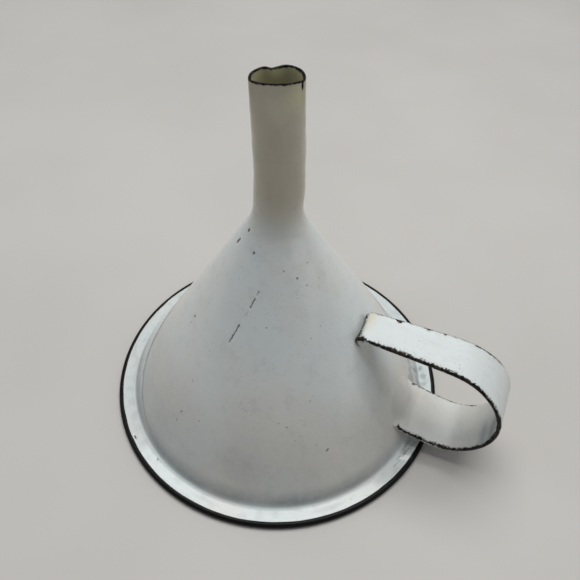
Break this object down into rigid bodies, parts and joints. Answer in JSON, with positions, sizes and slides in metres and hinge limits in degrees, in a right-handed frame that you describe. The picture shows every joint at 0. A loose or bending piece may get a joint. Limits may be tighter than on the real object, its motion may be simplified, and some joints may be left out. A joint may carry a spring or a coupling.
{
  "type": "enamelled funnel",
  "caption": "Steel funnel with a steep conical bowl, a flanged rolled rim, a straight spout and a side strap handle, standing on its mouth.",
  "frame": {"origin": "centre of the mouth, in the plane the rim rests on", "axes": "+Z along the funnel's axis from the mouth towards the spout, +X from the axis towards the handle"},
  "size_m": [0.148, 0.127, 0.129],
  "materials": {
    "white_enamel": "glossy fused enamel on steel, chipped, with a black rim",
    "spout_enamel": "worn enamel on steel, stained grey",
    "wire": "drawn mild steel wire, hidden in the rim",
    "spot_weld": "spot weld nuggets, hidden under the handle's tabs"
  },
  "bodies": {
    "root": {"bowl": "white_enamel", "rim_wire": "wire", "spout": "spout_enamel", "neck_weld": "spout_enamel", "handle_strap": "white_enamel", "handle_welds": "spot_weld"}
  },
  "joints": []
}
